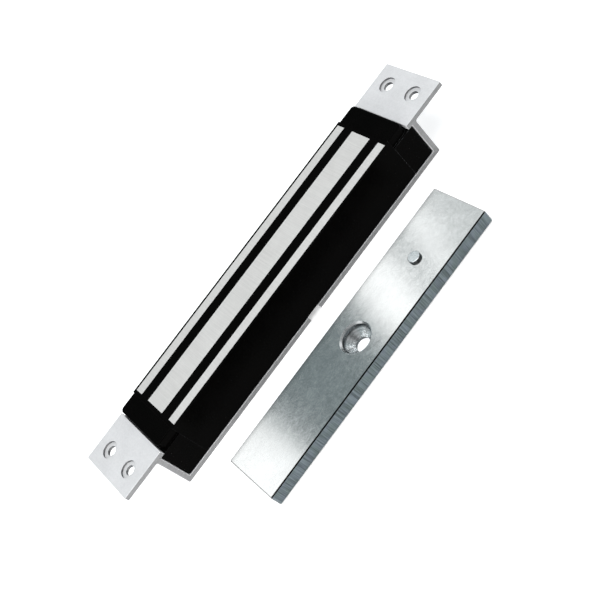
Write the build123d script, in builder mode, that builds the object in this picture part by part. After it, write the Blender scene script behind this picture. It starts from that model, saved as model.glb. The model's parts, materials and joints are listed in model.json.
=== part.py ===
from build123d import *
import os

# Flush electromagnetic door lock: a magnet body held by two end brackets, and its armature plate.
# All sizes are in millimetres.
# X runs along the lock. Z is 0 on the seat of the bracket ears and points out of the door frame.
# The armature plate lies beside the magnet, face up, on the same plane as the bracket feet.

# ---- magnet core -----------------------------------------------------------------------------
POLE_LENGTH = 180.0
CENTRE_POLE_WIDTH = 15.4
SLOT_WIDTH = 6.8
OUTER_POLE_WIDTH = 5.9
CORE_HEIGHT = 26.0
CORE_BACK = 8.0
POLE_FACE_Z = 5.6
POLE_EDGE = 0.2
TIE_ROD_RADIUS = 1.5
TIE_ROD_Y = 15.0
RIVET_HEAD_RADIUS = 2.6
RIVET_HEAD_HEIGHT = 1.2

# ---- housing and end caps --------------------------------------------------------------------
HOUSING_LENGTH = 184.4
HOUSING_WALL = 1.3
HOUSING_FLOOR = 1.6
HOUSING_CORNER = 0.9
HOUSING_EDGE = 0.1
CAP_RISE = 0.35
CAP_TOP_END_X = 103.9
CAP_TOP_HALF_WIDTH = 20.4
CAP_TOP_CORNER = 2.4
CAP_TOP_EDGE = 0.6
CAP_BOTTOM_EDGE = 1.0
CAP_WALL = 1.5
CAP_CAVITY_HALF_WIDTH = 19.0
CAP_BOSS_RADIUS = 3.0
CAP_SCREW_Y = 17.5
CAP_SCREW_Z = -6.0
RAIL_THICKNESS = 1.3
RAIL_REACH = 1.0
RAIL_TOP_Z = -11.5

# ---- brackets --------------------------------------------------------------------------------
BRACKET_THICKNESS = 3.2
BRACKET_WIDTH = 43.6
BRACKET_BEND = 0.8
BRACKET_EDGE = 0.3
SAWN_EDGE = 0.2
LOCK_DEPTH = 32.6
EAR_END_X = 134.7
LIP_END_X = 105.0
LEG_INNER_X = 107.9
FOOT_GAP = 8.3
EAR_HOLE_X = 123.0
EAR_HOLE_Y = 10.5
EAR_HOLE_RADIUS = 2.8
EAR_BORE_RADIUS = 5.0
EAR_BORE_DEPTH = 1.3
FOOT_SCREW_X = (35.0, 80.0)

# ---- winding ---------------------------------------------------------------------------------
BOBBIN_WALL = 0.8
BOBBIN_TOP_Z = 3.6
WINDING_CLEARANCE = 0.5
WINDING_CORNER = 4.0
POTTING_RECESS = 0.05
LEAD_RADIUS = 0.5
LEAD_Y = 4.0
LEAD_X = 94.5
LEAD_BOARD_Z = -16.5
LEAD_BEND = 3.0

# ---- circuit board ---------------------------------------------------------------------------
BOARD_X = 98.5
BOARD_THICKNESS = 1.6
BOARD_WIDTH = 28.6
BOARD_BOTTOM_Z = -20.6
BOARD_TOP_Z = 0.8
BOARD_CORNER = 0.8
VARISTOR_YZ = (-8.5, -5.6)
VARISTOR_RADIUS = 3.6
VARISTOR_THICKNESS = 3.0
VARISTOR_LIFT = 0.6
VARISTOR_LEG_RADIUS = 0.35
VARISTOR_LEG_SPREAD = 2.0
DIODE_YZ = (8.5, -4.5)
DIODE_RADIUS = 1.35
DIODE_LENGTH = 5.0
DIODE_LEG_RADIUS = 0.38
DIODE_LEG_REACH = 4.2
DIODE_LIFT = 1.8
HEADER_YZ = (9.0, -15.5)
HEADER_BASE = 1.5
HEADER_PITCH = 2.0
HEADER_PIN_LENGTH = 4.6
PIN_SIZE = 0.5
JUMPER_HEIGHT = 3.6
JUMPER_GAP = 0.2
SOCKET_YZ = (-8.9, -15.0)
SOCKET_SIZE = (8.4, 5.2, 4.7)
SOCKET_WALL = 0.6
SOCKET_FLOOR = 1.2
SOCKET_KEYWAY = 5.0

# ---- cable inlet -----------------------------------------------------------------------------
INLET_Z = -12.0
GROMMET_RADIUS = 4.0
GROMMET_BORE_RADIUS = 2.6
GROMMET_FLANGE = 1.5
GROMMET_OUTER_RADIUS = 5.6
GROMMET_INNER_RADIUS = 5.0
GROMMET_INNER_FLANGE = 1.0
GROMMET_EDGE = 0.7

# ---- armature plate and release pin ----------------------------------------------------------
PLATE_LENGTH = 175.0
PLATE_WIDTH = 38.0
PLATE_THICKNESS = 9.0
PLATE_Y = -63.0
PLATE_EDGE = 0.6
SCREW_HOLE_RADIUS = 4.2
SCREW_RECESS_RADIUS = 8.5
SCREW_RECESS_DEPTH = 3.0
SCREW_RIM_WIDTH = 0.9
SCREW_RIM_DEPTH = 1.2
GUIDE_HOLE_X = 19.0
GUIDE_HOLE_RADIUS = 3.0
GUIDE_HOLE_DEPTH = 5.0
PIN_X = 50.0
PIN_RADIUS = 3.5
PIN_CLEARANCE = 0.05
PIN_PROUD = 1.6
PIN_GUIDE_LENGTH = 3.5
PIN_FLANGE_RADIUS = 4.7
PIN_FLANGE_THICKNESS = 1.2
PIN_CHAMBER_RADIUS = 5.0
PIN_BORE_RADIUS = 2.45
PIN_TOP_THICKNESS = 1.6
PIN_TOP_EDGE = 0.4
RETAINER_THICKNESS = 1.5
RETAINER_SLOT = 0.9
RETAINER_SLOT_DEPTH = 0.6
SPRING_RADIUS = 1.9
SPRING_WIRE_RADIUS = 0.25
SPRING_TURNS = 6
SPRING_GAP = 0.15

# ---- screws ----------------------------------------------------------------------------------
M4_RADIUS = 2.0
M4_HEAD_RADIUS = 4.0
M4_REACH = 5.0
M4_SOCKET_RADIUS = 1.45
M4_SOCKET_DEPTH = 1.4
M3_RADIUS = 1.5
M3_HEAD_RADIUS = 2.9
M3_REACH = 6.5
M3_SOCKET_RADIUS = 1.15
M3_SOCKET_DEPTH = 1.0
HEAD_RECESS = 0.1
HOLE_CLEARANCE = 0.15

# ---- values that follow from the ones above --------------------------------------------------
HALF_POLE = POLE_LENGTH / 2
POLE_Y = CENTRE_POLE_WIDTH / 2
SLOT_Y = POLE_Y + SLOT_WIDTH
CORE_Y = SLOT_Y + OUTER_POLE_WIDTH
CORE_BOTTOM_Z = POLE_FACE_Z - CORE_HEIGHT
SLOT_FLOOR_Z = CORE_BOTTOM_Z + CORE_BACK
TIE_ROD_Z = CORE_BOTTOM_Z + CORE_BACK / 2
BACK_Z = POLE_FACE_Z - LOCK_DEPTH
BODY_BOTTOM_Z = BACK_Z + BRACKET_THICKNESS
HOUSING_X = HOUSING_LENGTH / 2
HOUSING_Y = CORE_Y + HOUSING_WALL
HOUSING_FLOOR_Z = BODY_BOTTOM_Z + HOUSING_FLOOR
CAP_TOP_Z = POLE_FACE_Z + CAP_RISE
CAP_END_X = LEG_INNER_X - HEAD_RECESS
LEG_OUTER_X = LEG_INNER_X + BRACKET_THICKNESS
POTTING_TOP_Z = POLE_FACE_Z - POTTING_RECESS
BOBBIN_Y = POLE_Y + BOBBIN_WALL
BOBBIN_X = HALF_POLE + BOBBIN_WALL
FLANGE_X = HALF_POLE + SLOT_WIDTH
WINDING_Y = SLOT_Y - WINDING_CLEARANCE
WINDING_X = FLANGE_X - WINDING_CLEARANCE
BOARD_FACE_X = BOARD_X + BOARD_THICKNESS
PLATE_TOP_Z = BACK_Z + PLATE_THICKNESS
PIN_SHOULDER_Z = PLATE_TOP_Z - PIN_GUIDE_LENGTH
RETAINER_TOP_Z = BACK_Z + HEAD_RECESS + RETAINER_THICKNESS
PIN_CEILING_Z = PLATE_TOP_Z + PIN_PROUD - PIN_TOP_THICKNESS
MIN_ALIGN = (Align.CENTER, Align.CENTER, Align.MIN)
MAX_ALIGN = (Align.CENTER, Align.CENTER, Align.MAX)
SIDES = {"left": -1, "right": 1}
NEAR = 0.01


# ---- magnet body -----------------------------------------------------------------------------
def build_core_laminations():
    """E-shaped stack: three poles on one back, tapped for the bracket and cap screws."""
    with BuildPart() as core:
        with BuildSketch(Plane.YZ):
            with Locations((0, (POLE_FACE_Z + CORE_BOTTOM_Z) / 2)):
                Rectangle(2 * CORE_Y, CORE_HEIGHT)
            with Locations((-(POLE_Y + SLOT_Y) / 2, POLE_FACE_Z), ((POLE_Y + SLOT_Y) / 2, POLE_FACE_Z)):
                Rectangle(SLOT_WIDTH, CORE_HEIGHT - CORE_BACK, align=(Align.CENTER, Align.MAX),
                          mode=Mode.SUBTRACT)
        extrude(amount=HALF_POLE, both=True)
        chamfer(core.edges().filter_by(Axis.X).group_by(Axis.Z)[-1], POLE_EDGE)
        with BuildSketch(Plane.YZ):
            with Locations((-TIE_ROD_Y, TIE_ROD_Z), (TIE_ROD_Y, TIE_ROD_Z)):
                Circle(TIE_ROD_RADIUS)
        extrude(amount=HALF_POLE, both=True, mode=Mode.SUBTRACT)
        for side in SIDES.values():
            with BuildSketch(Plane.YZ.offset(side * HALF_POLE)):
                with Locations((-CAP_SCREW_Y, CAP_SCREW_Z), (CAP_SCREW_Y, CAP_SCREW_Z)):
                    Circle(M3_RADIUS)
            extrude(amount=-side * M3_REACH, mode=Mode.SUBTRACT)
            with BuildSketch(Plane.XY.offset(CORE_BOTTOM_Z)):
                with Locations(*[(side * x, 0) for x in FOOT_SCREW_X]):
                    Circle(M4_RADIUS)
            extrude(amount=M4_REACH, mode=Mode.SUBTRACT)
    return core


def build_core_tie_rods():
    """Two rods that hold the laminations together, riveted over at both ends."""
    with BuildPart(Plane.YZ) as rods:
        with Locations((-TIE_ROD_Y, TIE_ROD_Z), (TIE_ROD_Y, TIE_ROD_Z)):
            Cylinder(TIE_ROD_RADIUS, POLE_LENGTH)
            with Locations((0, 0, HALF_POLE)):
                Cone(RIVET_HEAD_RADIUS, TIE_ROD_RADIUS, RIVET_HEAD_HEIGHT, align=MIN_ALIGN)
            with Locations((0, 0, -HALF_POLE)):
                Cone(TIE_ROD_RADIUS, RIVET_HEAD_RADIUS, RIVET_HEAD_HEIGHT, align=MAX_ALIGN)
    return rods


def build_coil_bobbin():
    """Former round the centre pole, with a flange above and below the winding."""
    with BuildPart() as bobbin:
        with BuildSketch(Plane.XY.offset(SLOT_FLOOR_Z)):
            RectangleRounded(2 * BOBBIN_X, 2 * BOBBIN_Y, BOBBIN_WALL)
        extrude(amount=BOBBIN_TOP_Z - SLOT_FLOOR_Z)
        for z in (SLOT_FLOOR_Z, BOBBIN_TOP_Z - BOBBIN_WALL):
            with BuildSketch(Plane.XY.offset(z)):
                RectangleRounded(2 * FLANGE_X, 2 * SLOT_Y, WINDING_CORNER)
            extrude(amount=BOBBIN_WALL)
        with BuildSketch(Plane.XY.offset(SLOT_FLOOR_Z)):
            Rectangle(POLE_LENGTH, CENTRE_POLE_WIDTH)
        extrude(amount=BOBBIN_TOP_Z - SLOT_FLOOR_Z, mode=Mode.SUBTRACT)
        with BuildSketch(Plane.XY.offset(SLOT_FLOOR_Z)):
            with Locations((LEAD_X, -LEAD_Y), (LEAD_X, LEAD_Y)):
                Circle(LEAD_RADIUS)
        extrude(amount=BOBBIN_WALL, mode=Mode.SUBTRACT)
    return bobbin


def build_coil_winding():
    """Racetrack of enamelled copper wire, drawn as one body."""
    with BuildPart() as winding:
        with BuildSketch(Plane.XY.offset(SLOT_FLOOR_Z + BOBBIN_WALL)):
            RectangleRounded(2 * WINDING_X, 2 * WINDING_Y, WINDING_CORNER)
            RectangleRounded(2 * BOBBIN_X, 2 * BOBBIN_Y, BOBBIN_WALL, mode=Mode.SUBTRACT)
        extrude(amount=BOBBIN_TOP_Z - SLOT_FLOOR_Z - 2 * BOBBIN_WALL)
    return winding


def build_coil_leads():
    """Two insulated leads from the winding down and out to the circuit board."""
    with BuildPart() as leads:
        for y in (-LEAD_Y, LEAD_Y):
            with BuildLine() as route:
                FilletPolyline((LEAD_X, y, SLOT_FLOOR_Z + BOBBIN_WALL), (LEAD_X, y, LEAD_BOARD_Z),
                               (BOARD_FACE_X + LEAD_RADIUS, y, LEAD_BOARD_Z), radius=LEAD_BEND)
            with BuildSketch(Plane(origin=route.line @ 0, z_dir=route.line % 0)):
                Circle(LEAD_RADIUS)
            sweep(path=route.line)
    return leads


def build_housing_shell():
    """Channel that wraps the back and both long sides of the core."""
    with BuildPart() as shell:
        with BuildSketch(Plane.YZ) as section:
            with Locations((0, BODY_BOTTOM_Z)):
                Rectangle(2 * HOUSING_Y, POLE_FACE_Z - BODY_BOTTOM_Z, align=(Align.CENTER, Align.MIN))
            fillet(section.vertices().group_by(Axis.Y)[0], HOUSING_CORNER)
            chamfer(section.vertices().group_by(Axis.Y)[-1], HOUSING_EDGE)
            with Locations((0, HOUSING_FLOOR_Z)):
                Rectangle(2 * CORE_Y, POLE_FACE_Z - HOUSING_FLOOR_Z, align=(Align.CENTER, Align.MIN),
                          mode=Mode.SUBTRACT)
        extrude(amount=HOUSING_X, both=True)
        with BuildSketch(Plane.XY.offset(BODY_BOTTOM_Z)):
            with Locations(*[(side * x, 0) for side in SIDES.values() for x in FOOT_SCREW_X]):
                Circle(M4_RADIUS + HOLE_CLEARANCE)
        extrude(amount=HOUSING_FLOOR, mode=Mode.SUBTRACT)
    return shell


def build_potting_compound(embedded):
    """Black resin that fills the housing round the core, the coil and their fasteners."""
    with BuildPart() as potting:
        with Locations((0, 0, HOUSING_FLOOR_Z)):
            Box(HOUSING_LENGTH, 2 * CORE_Y, POTTING_TOP_Z - HOUSING_FLOOR_Z, align=MIN_ALIGN)
        for piece in embedded:
            add(piece.part, mode=Mode.SUBTRACT)
    return potting


def build_end_cap(side):
    """Hollow block over one end of the coil. Its shoulder slides under the lip of the bracket."""
    length = CAP_END_X - HOUSING_X
    top_length = CAP_TOP_END_X - HOUSING_X
    with BuildPart() as cap:
        with BuildSketch(Plane.XY.offset(BODY_BOTTOM_Z)) as lower:
            with Locations((HOUSING_X, 0)):
                Rectangle(length, 2 * HOUSING_Y, align=(Align.MIN, Align.CENTER))
            fillet(lower.vertices().group_by(Axis.X)[-1], CAP_WALL)
        extrude(amount=-BODY_BOTTOM_Z)
        with BuildSketch(Plane.XY) as upper:
            with Locations((HOUSING_X, 0)):
                Rectangle(top_length, 2 * CAP_TOP_HALF_WIDTH, align=(Align.MIN, Align.CENTER))
            fillet(upper.vertices().group_by(Axis.X)[-1], CAP_TOP_CORNER)
        extrude(amount=CAP_TOP_Z)
        fillet(cap.faces().sort_by(Axis.Z)[-1].edges(), CAP_TOP_EDGE)
        fillet(cap.faces().sort_by(Axis.Z)[0].edges().sort_by(Axis.X)[-1], CAP_BOTTOM_EDGE)
        with Locations((HOUSING_X, 0, HOUSING_FLOOR_Z)):
            Box(top_length - CAP_WALL, 2 * CAP_CAVITY_HALF_WIDTH, POLE_FACE_Z - CAP_WALL - HOUSING_FLOOR_Z,
                align=(Align.MIN, Align.CENTER, Align.MIN), mode=Mode.SUBTRACT)
            Box(length - CAP_WALL, 2 * CAP_CAVITY_HALF_WIDTH, -CAP_WALL - HOUSING_FLOOR_Z,
                align=(Align.MIN, Align.CENTER, Align.MIN), mode=Mode.SUBTRACT)
        with BuildSketch(Plane.YZ.offset(HOUSING_X)):
            with Locations((-CAP_SCREW_Y, CAP_SCREW_Z), (CAP_SCREW_Y, CAP_SCREW_Z)):
                Circle(CAP_BOSS_RADIUS)
        extrude(amount=length)
        if side > 0:
            add_board_rails()
            with BuildSketch(Plane.YZ.offset(CAP_END_X)):
                with Locations((0, INLET_Z)):
                    Circle(GROMMET_RADIUS)
            extrude(amount=-CAP_WALL, mode=Mode.SUBTRACT)
        with Locations(Plane.YZ.offset(CAP_END_X)):
            with Locations((-CAP_SCREW_Y, CAP_SCREW_Z), (CAP_SCREW_Y, CAP_SCREW_Z)):
                CounterSinkHole(M3_RADIUS + HOLE_CLEARANCE, M3_HEAD_RADIUS + HOLE_CLEARANCE,
                                counter_sink_angle=90)
        if side < 0:
            mirror(about=Plane.YZ, mode=Mode.REPLACE)
    return cap


def add_board_rails():
    """Two pairs of ribs that grip the lower edges of the circuit board."""
    inner_y = BOARD_WIDTH / 2 - RAIL_REACH
    for x in (BOARD_X - RAIL_THICKNESS, BOARD_FACE_X):
        for y in (-CAP_CAVITY_HALF_WIDTH, inner_y):
            with Locations((x, y, HOUSING_FLOOR_Z)):
                Box(RAIL_THICKNESS, CAP_CAVITY_HALF_WIDTH - inner_y, RAIL_TOP_Z - HOUSING_FLOOR_Z,
                    align=(Align.MIN, Align.MIN, Align.MIN))


def build_cap_screws():
    """Countersunk screws that draw both end caps against the housing."""
    plane = Plane.YZ.offset(CAP_END_X - HEAD_RECESS)
    places = [(-CAP_SCREW_Y, CAP_SCREW_Z), (CAP_SCREW_Y, CAP_SCREW_Z)]
    length = CAP_END_X - HEAD_RECESS - HALF_POLE + M3_REACH
    with BuildPart(plane) as screws:
        with Locations(*places):
            Cylinder(M3_RADIUS, length, align=MAX_ALIGN)
            Cone(M3_RADIUS, M3_HEAD_RADIUS, M3_HEAD_RADIUS - M3_RADIUS, align=MAX_ALIGN)
        with BuildSketch(plane):
            with Locations(*places):
                RegularPolygon(M3_SOCKET_RADIUS, 6)
        extrude(amount=-M3_SOCKET_DEPTH, mode=Mode.SUBTRACT)
        mirror(about=Plane.YZ)
    return screws


# ---- circuit board in the right-hand cap -----------------------------------------------------
def build_circuit_board():
    """Board that stands across the cap, drilled for the two coil leads."""
    with BuildPart() as board:
        with BuildSketch(Plane.YZ.offset(BOARD_X)):
            with Locations((0, (BOARD_BOTTOM_Z + BOARD_TOP_Z) / 2)):
                RectangleRounded(BOARD_WIDTH, BOARD_TOP_Z - BOARD_BOTTOM_Z, BOARD_CORNER)
            with Locations((-LEAD_Y, LEAD_BOARD_Z), (LEAD_Y, LEAD_BOARD_Z)):
                Circle(LEAD_RADIUS, mode=Mode.SUBTRACT)
        extrude(amount=BOARD_THICKNESS)
    return board


def build_surge_varistor():
    """Disc varistor across the coil, on two short legs."""
    with BuildPart(Plane.YZ.offset(BOARD_FACE_X)) as varistor:
        with Locations((*VARISTOR_YZ, VARISTOR_LIFT)):
            Cylinder(VARISTOR_RADIUS, VARISTOR_THICKNESS, align=MIN_ALIGN)
        fillet(varistor.edges().filter_by(GeomType.CIRCLE), 0.3 * VARISTOR_THICKNESS)
        with Locations(VARISTOR_YZ):
            with Locations((-VARISTOR_LEG_SPREAD, 0), (VARISTOR_LEG_SPREAD, 0)):
                Cylinder(VARISTOR_LEG_RADIUS, 1.5 * VARISTOR_LIFT, align=MIN_ALIGN)
    return varistor


def build_flyback_diode():
    """Axial diode lying along the board with its legs bent into it."""
    y, z = DIODE_YZ
    low, high = z - DIODE_LEG_REACH, z + DIODE_LEG_REACH
    x = BOARD_FACE_X + DIODE_LIFT
    with BuildPart() as diode:
        with BuildLine() as leg:
            FilletPolyline((BOARD_FACE_X, y, low), (x, y, low), (x, y, high), (BOARD_FACE_X, y, high),
                           radius=2 * DIODE_LEG_RADIUS)
        with BuildSketch(Plane(origin=leg.line @ 0, z_dir=leg.line % 0)):
            Circle(DIODE_LEG_RADIUS)
        sweep(path=leg.line)
        with Locations((x, y, z)):
            Cylinder(DIODE_RADIUS, DIODE_LENGTH)
    return diode


def header_pins(columns, rows):
    """Pin places of a header, centred on its own middle."""
    return GridLocations(HEADER_PITCH, HEADER_PITCH, columns, rows)


def build_voltage_header():
    """Six-pin header that sets the supply voltage."""
    with BuildPart(Plane.YZ.offset(BOARD_FACE_X)) as header:
        with Locations(HEADER_YZ):
            Box(3 * HEADER_PITCH, 2 * HEADER_PITCH, HEADER_BASE, align=MIN_ALIGN)
            with header_pins(3, 2):
                Box(PIN_SIZE, PIN_SIZE, HEADER_PIN_LENGTH, align=MIN_ALIGN)
    return header


def build_voltage_jumpers():
    """Two push-on links, each over one upright pair of header pins."""
    y, z = HEADER_YZ
    with BuildPart(Plane.YZ.offset(BOARD_FACE_X)) as jumpers:
        with Locations((y - HEADER_PITCH, z, HEADER_BASE), (y, z, HEADER_BASE)):
            Box(HEADER_PITCH - JUMPER_GAP, 2 * HEADER_PITCH - JUMPER_GAP, JUMPER_HEIGHT, align=MIN_ALIGN)
            with header_pins(1, 2):
                Box(PIN_SIZE, PIN_SIZE, HEADER_PIN_LENGTH - HEADER_BASE, align=MIN_ALIGN,
                    mode=Mode.SUBTRACT)
    return jumpers


def build_supply_header():
    """Shrouded four-pin socket that the supply lead plugs into."""
    width, height, depth = SOCKET_SIZE
    with BuildPart(Plane.YZ.offset(BOARD_FACE_X)) as socket:
        with Locations(SOCKET_YZ):
            Box(width, height, depth, align=MIN_ALIGN)
            with Locations((0, 0, SOCKET_FLOOR)):
                Box(width - 2 * SOCKET_WALL, height - 2 * SOCKET_WALL, depth, align=MIN_ALIGN,
                    mode=Mode.SUBTRACT)
            with Locations((0, -height / 2, SOCKET_FLOOR)):
                Box(SOCKET_KEYWAY, 2 * SOCKET_WALL, depth, align=MIN_ALIGN, mode=Mode.SUBTRACT)
            with header_pins(4, 1):
                Box(PIN_SIZE, PIN_SIZE, depth - SOCKET_WALL, align=MIN_ALIGN)
    return socket


def build_cable_grommet():
    """Rubber bush through the end cap and the bracket leg, where the supply lead enters."""
    inner_x = CAP_END_X - CAP_WALL - GROMMET_INNER_FLANGE
    outer_x = LEG_OUTER_X + GROMMET_FLANGE
    with BuildPart(Plane.YZ.offset(inner_x)) as grommet:
        with Locations((0, INLET_Z)):
            Cylinder(GROMMET_INNER_RADIUS, GROMMET_INNER_FLANGE, align=MIN_ALIGN)
            Cylinder(GROMMET_RADIUS, outer_x - inner_x, align=MIN_ALIGN)
            with Locations((0, 0, LEG_OUTER_X - inner_x)):
                Cylinder(GROMMET_OUTER_RADIUS, GROMMET_FLANGE, align=MIN_ALIGN)
        fillet(grommet.faces().sort_by(Axis.X)[-1].edges(), GROMMET_EDGE)
        with Locations((0, INLET_Z)):
            Cylinder(GROMMET_BORE_RADIUS, outer_x - inner_x, align=MIN_ALIGN, mode=Mode.SUBTRACT)
    return grommet


# ---- brackets --------------------------------------------------------------------------------
def build_bracket(side):
    """Extruded bracket: ear, inward lip, leg down the end of the body and foot under its back."""
    with BuildPart() as bracket:
        with BuildSketch(Plane.XZ) as section:
            with BuildLine():
                Polyline((FOOT_GAP / 2, BACK_Z), (LEG_OUTER_X, BACK_Z), (LEG_OUTER_X, 0), (EAR_END_X, 0),
                         (EAR_END_X, BRACKET_THICKNESS), (LIP_END_X, BRACKET_THICKNESS), (LIP_END_X, 0),
                         (LEG_INNER_X, 0), (LEG_INNER_X, BODY_BOTTOM_Z), (FOOT_GAP / 2, BODY_BOTTOM_Z),
                         close=True)
            make_face()
            roundings = ((FOOT_GAP / 2, BRACKET_EDGE), (LIP_END_X, BRACKET_EDGE), (EAR_END_X, BRACKET_EDGE),
                         (LEG_OUTER_X, BRACKET_BEND))
            for x, radius in roundings:
                fillet(section.vertices().filter_by_position(Axis.X, x - NEAR, x + NEAR), radius)
        extrude(amount=BRACKET_WIDTH / 2, both=True)
        chamfer(bracket.faces().filter_by(Axis.Y).edges(), SAWN_EDGE)
        with Locations((EAR_HOLE_X, 0, BRACKET_THICKNESS)):
            with Locations((0, -EAR_HOLE_Y), (0, EAR_HOLE_Y)):
                CounterBoreHole(EAR_HOLE_RADIUS, EAR_BORE_RADIUS, EAR_BORE_DEPTH, depth=BRACKET_THICKNESS)
        with Locations(Plane(origin=(0, 0, BACK_Z), x_dir=(1, 0, 0), z_dir=(0, 0, -1))):
            with Locations(*[(x, 0) for x in FOOT_SCREW_X]):
                CounterSinkHole(M4_RADIUS + HOLE_CLEARANCE, M4_HEAD_RADIUS + HOLE_CLEARANCE,
                                depth=BRACKET_THICKNESS, counter_sink_angle=90)
        if side > 0:
            with BuildSketch(Plane.YZ.offset(LEG_INNER_X)):
                with Locations((0, INLET_Z)):
                    Circle(GROMMET_RADIUS)
            extrude(amount=BRACKET_THICKNESS, mode=Mode.SUBTRACT)
        else:
            mirror(about=Plane.YZ, mode=Mode.REPLACE)
    return bracket


def build_bracket_screws():
    """Countersunk screws from under the feet into the back of the core."""
    plane = Plane(origin=(0, 0, BACK_Z + HEAD_RECESS), x_dir=(1, 0, 0), z_dir=(0, 0, -1))
    places = [(side * x, 0) for side in SIDES.values() for x in FOOT_SCREW_X]
    length = CORE_BOTTOM_Z + M4_REACH - BACK_Z - HEAD_RECESS
    with BuildPart(plane) as screws:
        with Locations(*places):
            Cylinder(M4_RADIUS, length, align=MAX_ALIGN)
            Cone(M4_RADIUS, M4_HEAD_RADIUS, M4_HEAD_RADIUS - M4_RADIUS, align=MAX_ALIGN)
        with BuildSketch(plane):
            with Locations(*places):
                RegularPolygon(M4_SOCKET_RADIUS, 6)
        extrude(amount=-M4_SOCKET_DEPTH, mode=Mode.SUBTRACT)
    return screws


# ---- armature --------------------------------------------------------------------------------
def build_armature_plate():
    """Steel plate with a stepped screw hole, two blind guide holes behind and the release-pin bore."""
    with BuildPart() as plate:
        with Locations((0, PLATE_Y, BACK_Z)):
            Box(PLATE_LENGTH, PLATE_WIDTH, PLATE_THICKNESS, align=MIN_ALIGN)
        chamfer(plate.edges(), PLATE_EDGE)
        with Locations((0, PLATE_Y, PLATE_TOP_Z - SCREW_RECESS_DEPTH)):
            CounterSinkHole(SCREW_HOLE_RADIUS, SCREW_RECESS_RADIUS, counter_sink_angle=90)
        with Locations((0, PLATE_Y, PLATE_TOP_Z)):
            Cylinder(SCREW_RECESS_RADIUS, SCREW_RECESS_DEPTH, align=MAX_ALIGN, mode=Mode.SUBTRACT)
            Cone(SCREW_RECESS_RADIUS, SCREW_RECESS_RADIUS + SCREW_RIM_WIDTH, SCREW_RIM_DEPTH,
                 align=MAX_ALIGN, mode=Mode.SUBTRACT)
        with Locations((-GUIDE_HOLE_X, PLATE_Y, BACK_Z), (GUIDE_HOLE_X, PLATE_Y, BACK_Z)):
            Cylinder(GUIDE_HOLE_RADIUS, GUIDE_HOLE_DEPTH, align=MIN_ALIGN, mode=Mode.SUBTRACT)
        with Locations((PIN_X, PLATE_Y, BACK_Z)):
            Cylinder(PIN_RADIUS + PIN_CLEARANCE, PLATE_THICKNESS, align=MIN_ALIGN, mode=Mode.SUBTRACT)
            Cylinder(PIN_CHAMBER_RADIUS, PIN_SHOULDER_Z - BACK_Z, align=MIN_ALIGN, mode=Mode.SUBTRACT)
    return plate


def build_release_pin():
    """Sprung pin that stands proud of the plate, flanged below and hollow for its spring."""
    flange_z = PIN_SHOULDER_Z - PIN_CLEARANCE - PIN_FLANGE_THICKNESS
    with BuildPart() as pin:
        with Locations((PIN_X, PLATE_Y, flange_z)):
            Cylinder(PIN_RADIUS, PLATE_TOP_Z + PIN_PROUD - flange_z, align=MIN_ALIGN)
        fillet(pin.faces().sort_by(Axis.Z)[-1].edges(), PIN_TOP_EDGE)
        with Locations((PIN_X, PLATE_Y, flange_z)):
            Cylinder(PIN_FLANGE_RADIUS, PIN_FLANGE_THICKNESS, align=MIN_ALIGN)
            Cylinder(PIN_BORE_RADIUS, PIN_CEILING_Z - flange_z, align=MIN_ALIGN, mode=Mode.SUBTRACT)
    return pin


def build_release_spring():
    """Compression spring between the retainer and the inside of the release pin."""
    bottom_z = RETAINER_TOP_Z + SPRING_WIRE_RADIUS
    height = PIN_CEILING_Z - SPRING_WIRE_RADIUS - SPRING_GAP - bottom_z
    with BuildPart() as spring:
        with BuildLine() as coil:
            Helix(height / SPRING_TURNS, height, SPRING_RADIUS, center=(PIN_X, PLATE_Y, bottom_z))
        with BuildSketch(Plane(origin=coil.line @ 0, z_dir=coil.line % 0)):
            Circle(SPRING_WIRE_RADIUS)
        sweep(path=coil.line, is_frenet=True)
    return spring


def build_pin_retainer():
    """Slotted disc pressed into the back of the plate to hold the spring in."""
    with BuildPart() as retainer:
        with Locations((PIN_X, PLATE_Y, BACK_Z + HEAD_RECESS)):
            Cylinder(PIN_CHAMBER_RADIUS, RETAINER_THICKNESS, align=MIN_ALIGN)
            Box(2 * PIN_CHAMBER_RADIUS, RETAINER_SLOT, RETAINER_SLOT_DEPTH, align=MIN_ALIGN,
                mode=Mode.SUBTRACT)
    return retainer


# ---- assembly --------------------------------------------------------------------------------
pieces = {
    "core_laminations": build_core_laminations(),
    "core_tie_rods": build_core_tie_rods(),
    "coil_bobbin": build_coil_bobbin(),
    "coil_winding": build_coil_winding(),
    "coil_leads": build_coil_leads(),
    "housing_shell": build_housing_shell(),
    "cap_screws": build_cap_screws(),
    "circuit_board": build_circuit_board(),
    "surge_varistor": build_surge_varistor(),
    "flyback_diode": build_flyback_diode(),
    "voltage_header": build_voltage_header(),
    "voltage_jumpers": build_voltage_jumpers(),
    "supply_header": build_supply_header(),
    "cable_grommet": build_cable_grommet(),
    "bracket_screws": build_bracket_screws(),
    "armature_plate": build_armature_plate(),
    "release_pin": build_release_pin(),
    "release_spring": build_release_spring(),
    "pin_retainer": build_pin_retainer(),
}
for hand, direction in SIDES.items():
    pieces[f"end_cap_{hand}"] = build_end_cap(direction)
    pieces[f"bracket_{hand}"] = build_bracket(direction)
EMBEDDED = ("core_laminations", "core_tie_rods", "coil_bobbin", "coil_winding", "cap_screws",
            "bracket_screws")
pieces["potting_compound"] = build_potting_compound([pieces[node] for node in EMBEDDED])

os.makedirs("parts", exist_ok=True)
for node, piece in pieces.items():
    piece.part.label = node
    export_step(piece.part, f"parts/{node}.step")
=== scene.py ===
import json
import math
import bpy
from mathutils import Matrix, Quaternion, Vector


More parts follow.
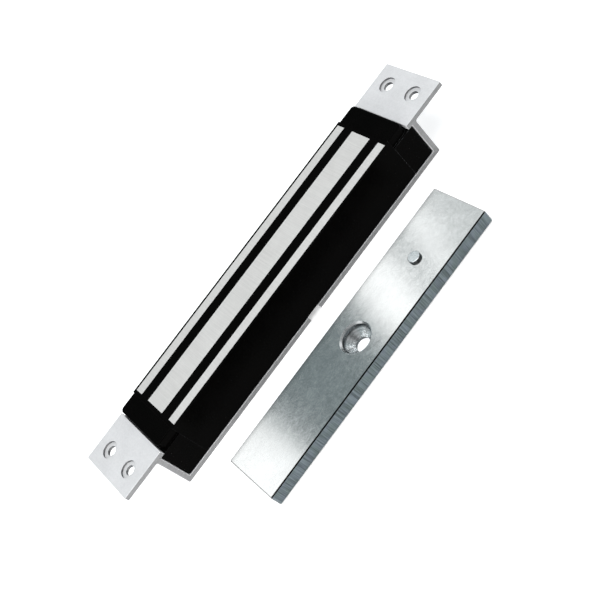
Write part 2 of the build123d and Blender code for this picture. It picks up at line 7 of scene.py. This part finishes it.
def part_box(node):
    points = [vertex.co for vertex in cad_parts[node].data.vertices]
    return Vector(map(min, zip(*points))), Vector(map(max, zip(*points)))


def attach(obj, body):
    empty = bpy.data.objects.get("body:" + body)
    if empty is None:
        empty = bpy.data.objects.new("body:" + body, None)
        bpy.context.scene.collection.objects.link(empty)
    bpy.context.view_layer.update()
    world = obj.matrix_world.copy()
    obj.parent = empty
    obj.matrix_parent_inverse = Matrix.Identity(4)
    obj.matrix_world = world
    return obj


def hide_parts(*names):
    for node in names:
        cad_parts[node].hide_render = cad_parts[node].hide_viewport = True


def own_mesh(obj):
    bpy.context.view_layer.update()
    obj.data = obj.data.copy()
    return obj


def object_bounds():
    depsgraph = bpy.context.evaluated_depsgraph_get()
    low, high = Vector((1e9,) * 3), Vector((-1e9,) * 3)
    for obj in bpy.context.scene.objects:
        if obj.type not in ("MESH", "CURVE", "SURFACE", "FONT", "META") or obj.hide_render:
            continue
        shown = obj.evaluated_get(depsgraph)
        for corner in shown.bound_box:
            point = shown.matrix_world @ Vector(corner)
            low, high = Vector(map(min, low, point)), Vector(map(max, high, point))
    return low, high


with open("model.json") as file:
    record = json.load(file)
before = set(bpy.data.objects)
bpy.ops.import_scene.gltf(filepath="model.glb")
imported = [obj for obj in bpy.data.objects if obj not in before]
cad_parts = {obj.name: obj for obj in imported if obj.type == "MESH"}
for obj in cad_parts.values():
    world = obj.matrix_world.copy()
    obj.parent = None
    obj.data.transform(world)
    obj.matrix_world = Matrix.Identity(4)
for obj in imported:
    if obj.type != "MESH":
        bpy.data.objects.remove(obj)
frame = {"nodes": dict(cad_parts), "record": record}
CAD_LOW, CAD_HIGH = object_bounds()

# Looks of the flush electromagnetic door lock. Lengths in the material helpers are in millimetres,
# and everything placed in the scene is in metres. X runs along the lock, Y across it towards the far
# side, and Z up from the floor that it lies on.
MM = 0.001
Y_AXIS, FRONT = (0.0, 1.0, 0.0), (0.0, -1.0, 0.0)
UP, DOWN = (0.0, 0.0, 1.0), (0.0, 0.0, -1.0)
XY_PLANE = (1.0, 1.0, 0.0)

# ---- camera and room -------------------------------------------------------------------------
CAMERA_PLACE = (-0.0359, -0.42618, 0.37067)
CAMERA_RIGHT = (0.60025, -0.57614, -0.55410)
CAMERA_UP = (0.79676, 0.37548, 0.47267)
CAMERA_LENS = 63.92
CAMERA_SENSOR = 36.0
CAMERA_NEAREST = 0.01
FLOOR_SIZE = 24.0
FLOOR_GLOW = 0.42
FLOOR_GAP = 0.0001
HORIZON_COLOUR = (0.92, 0.93, 0.94)
ROOM_COLOUR = (0.203, 0.257, 0.269)
FRONT_COLOUR = (0.28, 0.29, 0.295)
PATCH_DIRECTION = (0.0, -0.695, 0.719)
PATCH_COLOUR = (0.02, 0.023, 0.025)

# The strips stand in one row behind the lock, where the plate's face mirrors them.
STRIP_Y, STRIP_Z = 0.663, 0.762
STRIP_HEIGHT = 0.24
STRIP_ROLL = -9.0
STRIP_AIM_X = -0.024
PLATE_Y, PLATE_TOP = -0.063, -0.018

# ---- colours ---------------------------------------------------------------------------------
POLE_FACE = (0.722, 0.703, 0.688)
POLE_RUBBED = (0.84, 0.835, 0.82)
BRACKET_SKIN = (0.70, 0.692, 0.702)
BRACKET_BORE_SHADE = (0.13, 0.132, 0.138)
BRACKET_SAWN_SHADED = (0.225, 0.224, 0.226)
BRACKET_RUBBED = (0.80, 0.80, 0.81)
PLATE_FACE = (0.724, 0.717, 0.710)
PLATE_SIDE_GREENISH = (0.110, 0.136, 0.137)
PLATE_SIDE_BLUISH = (0.126, 0.148, 0.167)
PLATE_RUBBED = (0.80, 0.81, 0.82)
HOLE_TURNED = (0.92, 0.94, 0.95)
HOLE_LEDGE_SHADE = (0.20, 0.215, 0.225)
HOLE_RIM_HIGHLIGHT = (0.90, 0.915, 0.92)
HOLE_WALL_SHADE = (0.085, 0.095, 0.10)
PIN_STEEL = (0.80, 0.82, 0.83)
PIN_RUBBED = (0.85, 0.86, 0.86)
SCREW_ZINC = (0.62, 0.63, 0.64)
RETAINER_ZINC = (0.55, 0.56, 0.57)
SPRING_STEEL = (0.46, 0.46, 0.47)
COPPER = (0.80, 0.34, 0.15)
JET_BLACK = (0.0009, 0.0008, 0.0007)
RUBBED_AND_HIGHLIGHT_BLACK = (0.020, 0.020, 0.021)
CAP_EDGE_HIGHLIGHT = (0.14, 0.145, 0.15)
COMPONENT_BLACK = (0.012, 0.012, 0.013)
HEADER_BLACK = (0.018, 0.018, 0.02)
RUBBER_BLACK = (0.014, 0.014, 0.014)
BOBBIN_NYLON = (0.70, 0.67, 0.58)
CONNECTOR_NYLON = (0.74, 0.72, 0.66)
LEAD_RED = (0.42, 0.02, 0.015)
VARISTOR_BLUE = (0.02, 0.07, 0.30)
BOARD_MASK = (0.012, 0.11, 0.045)
BOARD_RUNS = (0.035, 0.22, 0.075)
FLOOR_WHITE = (0.92, 0.92, 0.92)

# ---- places on the parts that the materials need, in millimetres -------------------------------
# The four ear holes lie evenly about the origin, so one of them stands for all.
ear_screws = next(m for m in frame["record"]["mounts"] if m["name"] == "ear_screws")["dims"]
EAR_HOLE = (ear_screws["spacing_x_mm"] / 2, ear_screws["spacing_y_mm"] / 2, 0.0)
COUNTERBORE_OUTSIDE, COUNTERBORE_INSIDE = 5.5, 5.1

# Radii about the middle of the plate's hole, where one finish or painted light gives way to the next:
# painted shade on the ledge, a painted highlight on the rim, and painted shade on the face's edge chamfer
# outside the hole.
LEDGE_START, LEDGE_END = 7.4, 8.4
RIM_START, RIM_END = 8.45, 8.6
HOLE_INSIDE, HOLE_OUTSIDE = 9.3, 9.6
BEVEL_START, BEVEL_END = 9.5, 9.7


def box_centre(node):
    """Middle of a node's box."""
    return [(a + b) / 2 / MM for a, b in zip(*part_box(node))]


# ---- node material helpers -------------------------------------------------------------------
class Surface:
    """A Principled material and the nodes that feed it, laid out in the object's own millimetres."""

    def __init__(self, name, **constants):
        self.material = bpy.data.materials.new(name)
        self.material.use_nodes = True
        self.tree = self.material.node_tree
        self.shader = self.tree.nodes["Principled BSDF"]
        for socket, value in constants.items():
            self.shader.inputs[socket.replace("_", " ")].default_value = value
        self.coordinates = self.tree.nodes.new("ShaderNodeTexCoord")

    def join(self, socket, value):
        """Links value to socket, or sets it where value is a plain number or colour."""
        if isinstance(value, bpy.types.NodeSocket):
            self.tree.links.new(value, socket)
        elif isinstance(value, (tuple, list)) and len(value) == 3 and socket.type == "RGBA":
            socket.default_value = (*value, 1.0)
        else:
            socket.default_value = value

    def vector(self, operation, a, b=None, result=0):
        """A vector operation on a and b."""
        node = self.tree.nodes.new("ShaderNodeVectorMath")
        node.operation = operation
        self.join(node.inputs[0], a)
        if b is not None:
            self.join(node.inputs[1], b)
        return node.outputs[result]

    def calc(self, operation, a, b=0.0):
        """An arithmetic operation on a and b."""
        node = self.tree.nodes.new("ShaderNodeMath")
        node.operation = operation
        self.join(node.inputs[0], a)
        self.join(node.inputs[1], b)
        return node.outputs[0]

    def add(self, first, *others):
        """The sum of the values."""
        for other in others:
            first = self.calc("ADD", first, other)
        return first

    def times(self, first, *others):
        """The product of the values."""
        for other in others:
            first = self.calc("MULTIPLY", first, other)
        return first

    def place(self, per_mm=(1.0, 1.0, 1.0), centre=(0.0, 0.0, 0.0)):
        """Object coordinates counted from centre, with each axis scaled to per_mm steps a millimetre."""
        shifted = self.vector("SUBTRACT", self.coordinates.outputs["Object"], [c * MM for c in centre])
        return self.vector("MULTIPLY", shifted, [s / MM for s in per_mm])

    def noise(self, per_mm, detail=3.0, rough=0.55, warp=0.0):
        """Noise of about per_mm features a millimetre along each axis, from 0 to 1."""
        node = self.tree.nodes.new("ShaderNodeTexNoise")
        node.inputs["Scale"].default_value = 1.0
        node.inputs["Detail"].default_value = detail
        node.inputs["Roughness"].default_value = rough
        node.inputs["Distortion"].default_value = warp
        steps = per_mm if isinstance(per_mm, tuple) else (per_mm,) * 3
        self.join(node.inputs["Vector"], self.place(steps))
        return node.outputs[0]

    def cells(self, per_mm):
        """Distance to the nearest of many scattered points, from 0 at a point."""
        node = self.tree.nodes.new("ShaderNodeTexVoronoi")
        node.inputs["Scale"].default_value = 1.0
        self.join(node.inputs["Vector"], self.place((per_mm,) * 3))
        return node.outputs["Distance"]

    def span(self, value, low, high, to_low=0.0, to_high=1.0):
        """value carried smoothly from low..high to to_low..to_high, and held at the ends."""
        node = self.tree.nodes.new("ShaderNodeMapRange")
        node.interpolation_type = "SMOOTHSTEP"
        for socket, number in zip(node.inputs[1:5], (low, high, to_low, to_high)):
            socket.default_value = number
        self.join(node.inputs["Value"], value)
        return node.outputs[0]

    def spread(self, noise, to_low, to_high, reach=0.2):
        """A noise's values within reach of its middle, 0.5, carried to to_low..to_high."""
        return self.span(noise, 0.5 - reach, 0.5 + reach, to_low, to_high)

    def mix(self, share, a, b):
        """Colour a at share 0 and b at share 1."""
        node = self.tree.nodes.new("ShaderNodeMix")
        node.data_type = "RGBA"
        self.join(node.inputs[0], share)
        self.join(node.inputs[6], a)
        self.join(node.inputs[7], b)
        return node.outputs[2]

    def scale_colour(self, colour, factor):
        """colour times factor."""
        node = self.tree.nodes.new("ShaderNodeVectorMath")
        node.operation = "SCALE"
        self.join(node.inputs[0], colour)
        self.join(node.inputs["Scale"], factor)
        return node.outputs[0]

    def facing(self, axis):
        """How far the surface faces along or against axis, from 0 to 1."""
        along = self.vector("DOT_PRODUCT", self.coordinates.outputs["Normal"], axis, "Value")
        return self.calc("ABSOLUTE", along)

    def radius(self, centre, axes):
        """Distance in millimetres from centre in the plane of axes."""
        return self.vector("LENGTH", self.place(axes, centre), result="Value")

    def ear_hole_distance(self):
        """Distance in millimetres from the axis of the nearest of the four ear holes."""
        folded = self.vector("ABSOLUTE", self.place(XY_PLANE))
        return self.vector("DISTANCE", folded, EAR_HOLE, "Value")

    def edge(self, width):
        """1 on a corner of the shape and 0 more than about width millimetres from one."""
        bevel = self.tree.nodes.new("ShaderNodeBevel")
        bevel.samples = 6
        bevel.inputs["Radius"].default_value = width * MM
        geometry = self.tree.nodes.new("ShaderNodeNewGeometry")
        flatness = self.vector("DOT_PRODUCT", bevel.outputs[0], geometry.outputs["Normal"], "Value")
        return self.span(flatness, 0.995, 0.80)

    def finish(self, colour, roughness, height, depth):
        """Links colour and roughness, and a bump of that height map, depth millimetres deep."""
        self.join(self.shader.inputs["Base Color"], colour)
        self.join(self.shader.inputs["Roughness"], roughness)
        bump = self.tree.nodes.new("ShaderNodeBump")
        bump.inputs["Strength"].default_value = 1.0
        bump.inputs["Distance"].default_value = depth * MM
        self.join(bump.inputs["Height"], height)
        self.join(self.shader.inputs["Normal"], bump.outputs[0])
        return self.material


# ---- metals ----------------------------------------------------------------------------------
def pole_steel():
    """Ground edges of the lamination stack: fine lines across the poles under soft cloudy tone."""
    s = Surface("pole_steel", Metallic=0.7)
    sheets = s.noise((2.2, 0.05, 0.05), detail=2.0)
    grain = s.noise((1.2, 4.0, 2.0), detail=4.0)
    clouds = s.noise(0.06, detail=3.0)
    tone = s.add(s.spread(sheets, -0.045, 0.045, reach=0.25), s.spread(grain, -0.04, 0.04, reach=0.25),
                 s.spread(clouds, 0.93, 1.0))
    colour = s.mix(s.edge(0.35), s.scale_colour(POLE_FACE, tone), POLE_RUBBED)
    roughness = s.add(s.spread(clouds, 0.60, 0.54), s.spread(grain, -0.03, 0.03))
    return s.finish(colour, roughness, s.add(sheets, grain), 0.010)


def bracket_aluminium():
    """Blasted and clear-anodised extrusion with sawn ends partly darkened by painted shade, counterbore
    walls darkened by painted shade, and rubbed corners.
    """
    s = Surface("bracket_aluminium", Metallic=0.30)
    blast = s.noise(3.5, detail=3.0)
    speckle = s.noise(1.1, detail=5.0)
    clouds = s.noise(0.09, detail=3.0)
    die_lines = s.noise((0.8, 0.015, 0.8), detail=3.0)
    saw_marks = s.noise((0.25, 0.1, 3.2), detail=3.0, warp=0.3)

    tone = s.add(s.spread(speckle, 0.95, 1.03, reach=0.25), s.spread(clouds, -0.03, 0.03))
    skin = s.scale_colour(BRACKET_SKIN, s.add(tone, s.spread(die_lines, -0.015, 0.015)))
    walls = s.span(s.facing(UP), 0.5, 0.2)
    # Painted shade: the counterbore walls are darkened.
    bore_shade = s.times(walls, s.span(s.ear_hole_distance(), COUNTERBORE_OUTSIDE, COUNTERBORE_INSIDE))
    skin = s.mix(bore_shade, skin, BRACKET_BORE_SHADE)

    # Sawn ends: real saw marks, with their darker colour partly painted shade.
    sawn = s.span(s.facing(Y_AXIS), 0.80, 0.95)
    cut = s.scale_colour(BRACKET_SAWN_SHADED, s.spread(saw_marks, 0.82, 1.18, reach=0.25))
    rub = s.times(s.edge(0.5), s.span(speckle, 0.35, 0.6, 0.4, 1.0))
    colour = s.mix(rub, s.mix(sawn, skin, cut), BRACKET_RUBBED)
    roughness = s.add(s.spread(blast, 0.50, 0.60), s.times(sawn, -0.12))
    height = s.add(s.times(blast, 0.6), s.times(saw_marks, sawn, 1.4))
    return s.finish(colour, roughness, height, 0.030)


def plated_steel():
    """Bright plated armature: cloudy satin face, sheared sides with fine upright lines, turned hole; painted
    shade on the hole's ledge and walls and on the face's edge chamfer, and a painted highlight on the hole's
    rim.
    """
    s = Surface("plated_steel", Metallic=1.0)
    clouds = s.noise(0.05, detail=3.0)
    mottle = s.noise(0.30, detail=4.0, rough=0.6)
    frost = s.noise(0.9, detail=4.0, rough=0.65)
    scratch = s.noise((0.35, 7.0, 1.0), detail=2.0)
    upright = s.noise((2.8, 2.8, 0.05), detail=2.0, rough=0.5)
    bands = s.noise((0.22, 0.22, 0.16), detail=3.0)

    from_hole = s.radius(box_centre("armature_plate"), XY_PLANE)
    upward = s.facing(UP)
    in_hole = s.span(from_hole, HOLE_OUTSIDE, HOLE_INSIDE)
    sides = s.times(s.span(upward, 0.5, 0.2), s.calc("SUBTRACT", 1.0, in_hole))

    # Painted shade: tilted faces outside the hole, such as the edge chamfer, are darkened to 0.35 of the
    # face colour.
    bevel = s.times(s.span(upward, 0.95, 0.85), s.span(from_hole, BEVEL_START, BEVEL_END))
    face_tone = s.add(s.spread(clouds, 0.95, 1.02), s.spread(mottle, -0.055, 0.055),
                      s.spread(frost, -0.06, 0.06))
    face = s.scale_colour(PLATE_FACE, s.times(face_tone, s.span(bevel, 0.0, 1.0, 1.0, 0.35)))

    side = s.mix(s.spread(bands, 0.0, 1.0, reach=0.15), PLATE_SIDE_GREENISH, PLATE_SIDE_BLUISH)
    side = s.scale_colour(side, s.spread(upright, 0.62, 1.34, reach=0.14))

    turning = s.calc("SINE", s.times(from_hole, 5.2))
    turned = s.scale_colour(HOLE_TURNED, s.span(turning, -1.0, 1.0, 0.80, 1.05))
    # Painted shade: a dark band on the ledge next to the wall.
    turned = s.mix(s.span(from_hole, LEDGE_START, LEDGE_END), turned, HOLE_LEDGE_SHADE)
    # Painted highlight: the rim chamfer is lightened.
    turned = s.mix(s.span(from_hole, RIM_START, RIM_END), turned, HOLE_RIM_HIGHLIGHT)
    # Painted shade: the hole's walls are darkened.
    hole = s.mix(s.span(upward, 0.45, 0.2), turned, HOLE_WALL_SHADE)

    colour = s.mix(in_hole, s.mix(sides, face, side), hole)
    rub = s.times(s.edge(0.45), s.span(upward, 0.2, 0.5, 0.35, 0.0))
    colour = s.mix(rub, colour, PLATE_RUBBED)
    roughness = s.add(s.spread(mottle, 0.14, 0.16), s.spread(frost, -0.015, 0.015),
                      s.times(sides, 0.25), s.times(in_hole, 0.12))
    height = s.add(s.times(scratch, 0.01), s.times(mottle, 0.01), s.times(upright, sides, 2.0),
                   s.times(turning, in_hole, 0.25))
    return s.finish(colour, roughness, height, 0.012)


def turned_steel(name, base, centre, per_mm, axes, roughness=(0.22, 0.34)):
    """Lathe-turned steel: rings about centre with fine frosting on its end, and a wall darkened as painted
    shade.
    """
    s = Surface(name, Metallic=1.0)
    rings = s.calc("SINE", s.times(s.radius(centre, axes), per_mm))
    frost = s.noise(2.0, detail=4.0)
    tone = s.add(s.span(rings, -1.0, 1.0, 0.94, 1.02), s.spread(frost, -0.06, 0.04))
    # Painted shade: faces that do not look up are darkened to a fifth of the end's tone.
    tone = s.times(tone, s.span(s.facing(UP), 0.55, 0.95, 0.20, 1.0))
    colour = s.mix(s.times(s.edge(0.3), 0.08), s.scale_colour(base, tone), PIN_RUBBED)
    return s.finish(colour, s.spread(frost, *roughness), s.add(s.times(rings, 0.5), frost), 0.006)


def zinc_steel(name, base):
    """Zinc-plated screw or rod: mottled spangle and faint handling marks."""
    s = Surface(name, Metallic=1.0)
    spangle = s.cells(1.2)
    frost = s.noise(3.0, detail=4.0)
    drawn = s.noise((0.3, 5.0, 5.0), detail=2.0)
    tone = s.add(s.span(spangle, 0.0, 0.8, 0.86, 1.06), s.spread(frost, -0.05, 0.05))
    rough = s.add(s.span(spangle, 0.0, 0.8, 0.26, 0.38), s.spread(frost, -0.03, 0.05))
    return s.finish(s.scale_colour(base, tone), rough, s.add(frost, drawn), 0.008)


def copper_wire():
    """Enamelled copper laid in turns one above the other, darkened in the grooves between turns as painted
    shade.
    """
    s = Surface("copper_wire", Metallic=0.9, Coat_Weight=0.6, Coat_Roughness=0.15)
    turns = s.tree.nodes.new("ShaderNodeTexWave")
    turns.wave_type = "BANDS"
    turns.bands_direction = "Z"
    turns.inputs["Scale"].default_value = 0.62
    turns.inputs["Distortion"].default_value = 0.25
    turns.inputs["Detail Scale"].default_value = 0.2
    s.join(turns.inputs["Vector"], s.place(UP))
    wire = turns.outputs[1]
    haze = s.noise(0.5, detail=4.0)
    # Painted shade: the colour falls to 0.35 in the grooves between turns, where the bump is low.
    tone = s.times(s.span(wire, 0.0, 1.0, 0.35, 1.0), s.spread(haze, 0.85, 1.05))
    return s.finish(s.scale_colour(COPPER, tone), s.spread(haze, 0.25, 0.4), wire, 0.12)


# ---- plastics, resin and rubber --------------------------------------------------------------
def black_shell(name, roughness, texture, rub_and_highlight=RUBBED_AND_HIGHLIGHT_BLACK):
    """Jet black skin with a fine moulded or anodised texture; its corners take the given edge colour, which
    on the housing and left cap is rubbing with some painted highlight, and on the right cap a painted
    highlight.
    """
    s = Surface(name, Specular_IOR_Level=0.015)
    fine = s.noise(texture, detail=3.0)
    broad = s.noise(0.07, detail=3.0)
    # Corners lightened by this edge mask: partly real rubbing, partly painted highlight.
    rub = s.times(s.edge(0.35), s.spread(s.noise(0.9, detail=4.0), 0.2, 1.0, reach=0.15))
    skin = s.scale_colour(JET_BLACK, s.add(s.spread(fine, 0.8, 1.15), s.spread(broad, -0.15, 0.15)))
    colour = s.mix(s.times(rub, 0.6), skin, rub_and_highlight)
    rough = s.add(s.spread(broad, *roughness), s.spread(fine, -0.03, 0.03))
    return s.finish(colour, rough, fine, 0.004)


def black_resin():
    """Cast resin between the poles: slightly wavy, with a few pinholes."""
    s = Surface("black_resin", Specular_IOR_Level=0.015)
    wave = s.noise(0.12, detail=3.0)
    dust = s.noise(2.4, detail=4.0)
    pits = s.span(s.cells(0.45), 0.10, 0.02)
    colour = s.scale_colour(JET_BLACK, s.span(dust, 0.35, 0.7, 0.7, 1.8))
    rough = s.add(s.spread(wave, 0.24, 0.34), s.spread(dust, -0.04, 0.06))
    height = s.add(s.times(wave, 2.0), s.times(pits, -1.0), s.times(dust, 0.15))
    return s.finish(colour, rough, height, 0.035)


def moulded(name, base, roughness, specular=0.5, texture=2.5, depth=0.01):
    """Small moulded or dipped part: soft mottling and a fine skin texture."""
    s = Surface(name, Specular_IOR_Level=specular)
    fine = s.noise(texture, detail=3.0)
    broad = s.noise(0.35, detail=3.0)
    tone = s.add(s.spread(broad, 0.88, 1.06), s.spread(fine, -0.05, 0.05))
    return s.finish(s.scale_colour(base, tone), s.spread(fine, *roughness), fine, depth)


def board_laminate():
    """Glass-epoxy board: green mask over woven glass, with raised copper runs beneath it."""
    s = Surface("board_laminate", Specular_IOR_Level=0.5)
    weave = s.noise((1.0, 3.0, 3.0), detail=2.0)
    runs = s.tree.nodes.new("ShaderNodeTexBrick")
    runs.inputs["Scale"].default_value = 0.35
    runs.inputs["Mortar Size"].default_value = 0.09
    runs.inputs["Mortar Smooth"].default_value = 0.4
    swapped = s.tree.nodes.new("ShaderNodeMapping")
    swapped.inputs["Rotation"].default_value = (0.0, math.radians(90), 0.0)
    s.join(swapped.inputs["Vector"], s.place())
    s.join(runs.inputs["Vector"], swapped.outputs[0])
    copper = runs.outputs["Fac"]
    colour = s.scale_colour(s.mix(copper, BOARD_MASK, BOARD_RUNS), s.spread(weave, 0.85, 1.1))
    return s.finish(colour, s.spread(weave, 0.26, 0.36), copper, 0.035)


# ---- the room --------------------------------------------------------------------------------
def floor_paint():
    """White paint that glows enough to take up the object's soft shadow."""
    s = Surface("floor_paint", Specular_IOR_Level=0.1, Emission_Color=(1.0, 1.0, 1.0, 1.0),
                Emission_Strength=FLOOR_GLOW)
    broad = s.noise(0.004, detail=2.0)
    tooth = s.noise(0.6, detail=3.0)
    tone = s.add(s.spread(broad, 0.985, 1.0), s.spread(tooth, -0.004, 0.004))
    return s.finish(s.scale_colour(FLOOR_WHITE, tone), s.spread(tooth, 0.75, 0.85), tooth, 0.004)


def make_floor():
    """Plain pale floor under the object."""
    half = FLOOR_SIZE / 2
    mesh = bpy.data.meshes.new("floor")
    corners = [(-half, -half, 0.0), (half, -half, 0.0), (half, half, 0.0), (-half, half, 0.0)]
    mesh.from_pydata(corners, [], [(0, 1, 2, 3)])
    floor = bpy.data.objects.new("floor", mesh)
    floor.location.z = CAD_LOW.z - FLOOR_GAP
    mesh.materials.append(floor_paint())
    bpy.context.scene.collection.objects.link(floor)


def softbox(name, place, aim, size, radiance, roll=0.0, mirrored=True):
    """Rectangular area light of that radiance, turned to shine on aim and rolled by roll degrees."""
    light = bpy.data.lights.new(name, "AREA")
    light.shape = "RECTANGLE"
    light.size, light.size_y = size
    light.energy = radiance * math.pi * size[0] * size[1]
    lamp = bpy.data.objects.new(name, light)
    lamp.location = place
    turn = (Vector(aim) - Vector(place)).to_track_quat("-Z", "Y")
    lamp.rotation_euler = (turn @ Quaternion(UP, math.radians(roll))).to_euler()
    lamp.visible_camera = False
    lamp.visible_glossy = mirrored
    bpy.context.scene.collection.objects.link(lamp)


def make_lights():
    """Large box overhead, one at each side, and a row of upright strips behind that the plate mirrors."""
    softbox("overhead", (-0.02, -0.08, 0.95), (0.0, -0.02, 0.0), (1.0, 0.7), 3.9)
    softbox("side_right", (0.85, 0.75, 0.60), (0.0, 0.0, 0.0), (0.5, 0.5), 1.9)
    softbox("front_left", (-0.48, -0.52, 0.12), (-0.05, 0.0, 0.0), (0.3, 0.25), 13.0, mirrored=False)
    strips = (("strip_left", -0.179, 0.141, 1.38), ("strip_right", 0.154, 0.080, 1.55),
              ("panel_right", 0.314, 0.172, 0.63), ("line_right", 0.258, 0.018, 1.5))
    for name, x, width, radiance in strips:
        aim = (x / 3 + STRIP_AIM_X, PLATE_Y, PLATE_TOP)
        softbox(name, (x, STRIP_Y, STRIP_Z), aim, (width, STRIP_HEIGHT), radiance, STRIP_ROLL)


def make_world():
    """Dim grey room with a pale horizon, a darker front, and a dark patch where the camera stands."""
    world = bpy.data.worlds.new("studio")
    world.use_nodes = True
    nodes, links = world.node_tree.nodes, world.node_tree.links
    direction = nodes.new("ShaderNodeTexCoord").outputs["Generated"]
    colour = HORIZON_COLOUR
    # Each shade covers those before it, from start to end of the direction's reach along its axis.
    shades = ((UP, 0.15, 0.60, ROOM_COLOUR), (FRONT, 0.1, 0.5, FRONT_COLOUR),
              (PATCH_DIRECTION, 0.94, 0.975, PATCH_COLOUR), (DOWN, -0.12, -0.03, HORIZON_COLOUR))
    for axis, start, end, shade in shades:
        along = nodes.new("ShaderNodeVectorMath")
        along.operation = "DOT_PRODUCT"
        along.inputs[1].default_value = axis
        links.new(direction, along.inputs[0])
        ramp = nodes.new("ShaderNodeMapRange")
        ramp.interpolation_type = "SMOOTHSTEP"
        ramp.inputs["From Min"].default_value, ramp.inputs["From Max"].default_value = start, end
        links.new(along.outputs["Value"], ramp.inputs["Value"])
        blend = nodes.new("ShaderNodeMix")
        blend.data_type = "RGBA"
        links.new(ramp.outputs[0], blend.inputs[0])
        if isinstance(colour, tuple):
            blend.inputs[6].default_value = (*colour, 1.0)
        else:
            links.new(colour, blend.inputs[6])
        blend.inputs[7].default_value = (*shade, 1.0)
        colour = blend.outputs[2]
    links.new(colour, nodes["Background"].inputs["Color"])
    bpy.context.scene.world = world


def make_camera():
    """Camera at the photograph's viewing angle."""
    right, up = Vector(CAMERA_RIGHT), Vector(CAMERA_UP)
    turn = Matrix((right, up, right.cross(up))).transposed()
    camera = bpy.data.objects.new("camera", bpy.data.cameras.new("camera"))
    camera.data.sensor_width = CAMERA_SENSOR
    camera.data.lens = CAMERA_LENS
    camera.data.clip_start = CAMERA_NEAREST
    camera.matrix_world = Matrix.Translation(CAMERA_PLACE) @ turn.to_4x4()
    bpy.context.scene.collection.objects.link(camera)
    bpy.context.scene.camera = camera
    bpy.context.scene.view_settings.view_transform = "Standard"


# ---- release spring --------------------------------------------------------------------------
SPRING_TURNS = 6.0
SPRING_WIRE_RADIUS = 0.25 * MM
SPRING_STEPS_PER_TURN = 28
SPRING_CLOSED_TURNS = 0.75
SPRING_CLOSED_PITCH = 2.05 * SPRING_WIRE_RADIUS


def spring_rise(share, rise):
    """Height of the wire after that share of its turns: slow through the closed end turns."""
    closed = SPRING_CLOSED_TURNS / SPRING_TURNS
    closed_rise = SPRING_CLOSED_TURNS * SPRING_CLOSED_PITCH
    if share < closed:
        return share / closed * closed_rise
    if share > 1 - closed:
        return rise - (1 - share) / closed * closed_rise
    return closed_rise + (share - closed) / (1 - 2 * closed) * (rise - 2 * closed_rise)


def make_spring(material):
    """Compression spring with closed end turns, in the room of its CAD solid, carried on the armature body.
    """
    low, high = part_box("release_spring")
    axis = (low + high) / 2
    coil_radius = (high.x - low.x) / 2 - SPRING_WIRE_RADIUS
    rise = high.z - low.z - 2 * SPRING_WIRE_RADIUS
    curve = bpy.data.curves.new("spring_line", "CURVE")
    curve.dimensions = "3D"
    curve.bevel_depth = SPRING_WIRE_RADIUS
    curve.bevel_resolution = 3
    curve.use_fill_caps = True
    line = curve.splines.new("POLY")
    count = int(SPRING_TURNS * SPRING_STEPS_PER_TURN)
    line.points.add(count)
    for i, point in enumerate(line.points):
        share = i / count
        angle = share * SPRING_TURNS * math.tau
        point.co = (axis.x + coil_radius * math.cos(angle), axis.y + coil_radius * math.sin(angle),
                    low.z + SPRING_WIRE_RADIUS + spring_rise(share, rise), 1.0)
    former = bpy.data.objects.new("spring_line", curve)
    bpy.context.scene.collection.objects.link(former)
    bpy.context.view_layer.update()
    mesh = bpy.data.meshes.new_from_object(former)
    bpy.data.objects.remove(former)
    spring = bpy.data.objects.new("coil_spring", mesh)
    mesh.materials.clear()
    mesh.materials.append(material)
    mesh.polygons.foreach_set("use_smooth", [True] * len(mesh.polygons))
    bpy.context.scene.collection.objects.link(spring)
    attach(spring, "armature")
    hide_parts("release_spring")
    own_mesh(spring)


# ---- put it together -------------------------------------------------------------------------
aluminium = bracket_aluminium()
zinc = zinc_steel("screw_steel", SCREW_ZINC)
header_plastic = moulded("header_plastic", HEADER_BLACK, (0.38, 0.5))
materials = {
    "core_laminations": pole_steel(),
    "core_tie_rods": zinc,
    "coil_bobbin": moulded("bobbin_nylon", BOBBIN_NYLON, (0.35, 0.5), texture=1.5),
    "coil_winding": copper_wire(),
    "coil_leads": moulded("lead_insulation", LEAD_RED, (0.35, 0.45)),
    "housing_shell": black_shell("black_housing", (0.26, 0.34), 3.0),
    "potting_compound": black_resin(),
    "end_cap_left": black_shell("black_plastic", (0.22, 0.28), 1.6),
    # Painted highlight: this cap's edges are lightened far more than the other cap's.
    "end_cap_right": black_shell("highlight_plastic", (0.22, 0.28), 1.6, CAP_EDGE_HIGHLIGHT),
    "cap_screws": zinc,
    "bracket_screws": zinc,
    "circuit_board": board_laminate(),
    "surge_varistor": moulded("varistor_coating", VARISTOR_BLUE, (0.22, 0.34)),
    "flyback_diode": moulded("component_black", COMPONENT_BLACK, (0.4, 0.55)),
    "voltage_header": header_plastic,
    "voltage_jumpers": header_plastic,
    "supply_header": moulded("connector_nylon", CONNECTOR_NYLON, (0.35, 0.5), texture=1.5),
    "cable_grommet": moulded("grommet_rubber", RUBBER_BLACK, (0.6, 0.75), specular=0.3, depth=0.03),
    "bracket_left": aluminium,
    "bracket_right": aluminium,
    "armature_plate": plated_steel(),
    "release_pin": turned_steel("pin_steel", PIN_STEEL, box_centre("release_pin"), 14.0, XY_PLANE),
    "pin_retainer": zinc_steel("retainer_steel", RETAINER_ZINC),
    "release_spring": zinc_steel("spring_steel", SPRING_STEEL),
}
for node, material in materials.items():
    for material_slot in frame["nodes"][node].material_slots:
        material_slot.material = material

make_spring(materials["release_spring"])
make_floor()
make_world()
make_lights()
make_camera()
